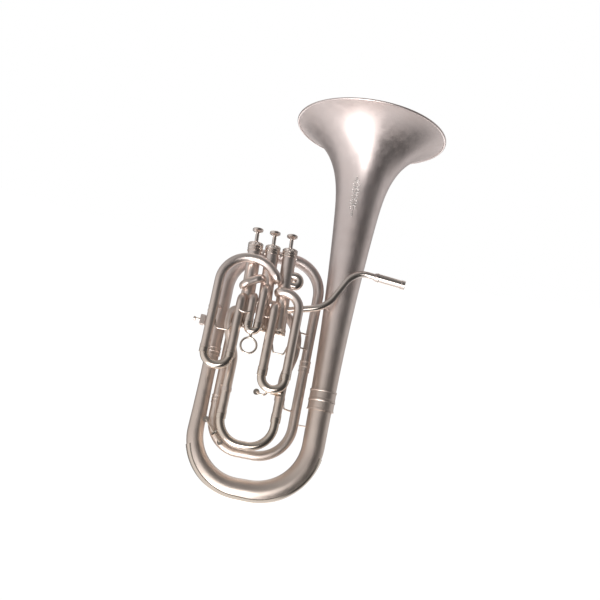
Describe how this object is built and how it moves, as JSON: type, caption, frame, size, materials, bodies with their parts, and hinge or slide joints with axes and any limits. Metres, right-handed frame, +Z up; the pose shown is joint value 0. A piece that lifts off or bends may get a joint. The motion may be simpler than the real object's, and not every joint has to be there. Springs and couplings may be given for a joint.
{
  "type": "baritone horn",
  "caption": "Upright valved brass horn in satin silver plate, with a flared bell facing up, compensating slides, leadpipe, water keys and a lyre socket.",
  "frame": {"origin": "under the middle of the width and depth of the horn, at the level of the lowest point of the bottom bow", "axes": "+Z up the axis of the bell to its mouth, +X from the valves towards the bell and the mouthpiece, -Y towards the side that carries the valve slides"},
  "size_m": [0.3208, 0.231, 0.583],
  "materials": {
    "satin_silver": "satin silver plate over brass, brushed lengthwise",
    "polished_silver": "polished silver plate over brass",
    "bare_nickel_brass": "lapped nickel brass",
    "piston_metal": "lapped nickel alloy",
    "spring_steel": "bright wire",
    "felt": "pressed wool felt",
    "cork": "natural cork"
  },
  "bodies": {
    "horn": {"bell": "satin_silver", "bell_rim_wire": "satin_silver", "bell_ferrule": "satin_silver", "bottom_bow": "satin_silver", "top_bow": "satin_silver", "middle_bow": "satin_silver", "inner_top_bow": "satin_silver", "bow_guard": "polished_silver", "tuning_sleeves": "satin_silver", "mouthpiece_receiver": "polished_silver", "valve_casing_1": "satin_silver", "valve_casing_2": "satin_silver", "valve_casing_3": "satin_silver", "first_slide_tubes": "satin_silver", "second_slide_tubes": "satin_silver", "third_slide_tubes": "satin_silver", "valve_outlet_tube": "satin_silver", "compensating_loop": "polished_silver", "compensating_cross_tube": "satin_silver", "valve_knuckles": "satin_silver", "leadpipe": "polished_silver", "top_caps": "polished_silver", "bottom_caps": "polished_silver", "cap_felts": "felt", "valve_spring_1": "spring_steel", "valve_spring_2": "spring_steel", "valve_spring_3": "spring_steel", "branch_ferrules": "satin_silver", "slide_ferrules": "polished_silver", "slide_braces": "polished_silver", "body_braces": "satin_silver", "water_key_saddles": "polished_silver", "water_key_screws": "spring_steel", "water_key_springs": "spring_steel", "lyre_socket": "satin_silver"},
    "valve_1": {"piston_1": "piston_metal", "valve_stem_1": "polished_silver", "finger_button_1": "polished_silver"},
    "valve_2": {"piston_2": "piston_metal", "valve_stem_2": "polished_silver", "finger_button_2": "polished_silver"},
    "valve_3": {"piston_3": "piston_metal", "valve_stem_3": "polished_silver", "finger_button_3": "polished_silver"},
    "main_slide": {"tuning_slide_crook": "polished_silver", "tuning_slide_legs": "bare_nickel_brass"},
    "first_slide": {"first_slide_crook": "polished_silver", "first_slide_legs": "bare_nickel_brass"},
    "second_slide": {"second_slide_crook": "polished_silver", "second_slide_legs": "bare_nickel_brass", "second_slide_ring": "polished_silver"},
    "third_slide": {"third_slide_crook": "polished_silver", "third_slide_legs": "bare_nickel_brass"},
    "water_key_1": {"water_key_lever_1": "polished_silver", "water_key_cork_1": "cork"},
    "water_key_2": {"water_key_lever_2": "polished_silver", "water_key_cork_2": "cork"},
    "clamp_screw": {"lyre_screw": "polished_silver"}
  },
  "joints": [
    {"name": "valve_1_stroke", "type": "slide", "parent": "horn", "child": "valve_1", "axis": [0.0471, 0, -0.9989], "range_m": [0, 0.014], "deforming": ["valve_spring_1"]},
    {"name": "valve_2_stroke", "type": "slide", "parent": "horn", "child": "valve_2", "axis": [0.0471, 0, -0.9989], "range_m": [0, 0.014], "deforming": ["valve_spring_2"]},
    {"name": "valve_3_stroke", "type": "slide", "parent": "horn", "child": "valve_3", "axis": [0.0471, 0, -0.9989], "range_m": [0, 0.014], "deforming": ["valve_spring_3"]},
    {"name": "main_slide_draw", "type": "slide", "parent": "horn", "child": "main_slide", "axis": [0, 0, -1], "range_m": [0, 0.018]},
    {"name": "first_slide_draw", "type": "slide", "parent": "horn", "child": "first_slide", "axis": [0, 0, -1], "range_m": [0, 0.045]},
    {"name": "second_slide_draw", "type": "slide", "parent": "horn", "child": "second_slide", "axis": [0, 0, -1], "range_m": [0, 0.015]},
    {"name": "third_slide_draw", "type": "slide", "parent": "horn", "child": "third_slide", "axis": [0, 0, -1], "range_m": [0, 0.045]},
    {"name": "water_key_1_lift", "type": "hinge", "parent": "horn", "child": "water_key_1", "pos_m": [-0.0271, -0.0333, 0.155], "axis": [0, 0, -1], "range_deg": [0, 10]},
    {"name": "water_key_2_lift", "type": "hinge", "parent": "horn", "child": "water_key_2", "pos_m": [-0.09671, -0.0115, 0.0857], "axis": [-0.7396, 0, -0.6731], "range_deg": [0, 8]},
    {"name": "clamp_screw_turn", "type": "hinge", "parent": "horn", "child": "clamp_screw", "pos_m": [-0.1466, -0.008, 0.242], "axis": [1, 0, 0], "range_deg": [-360, 360]}
  ]
}
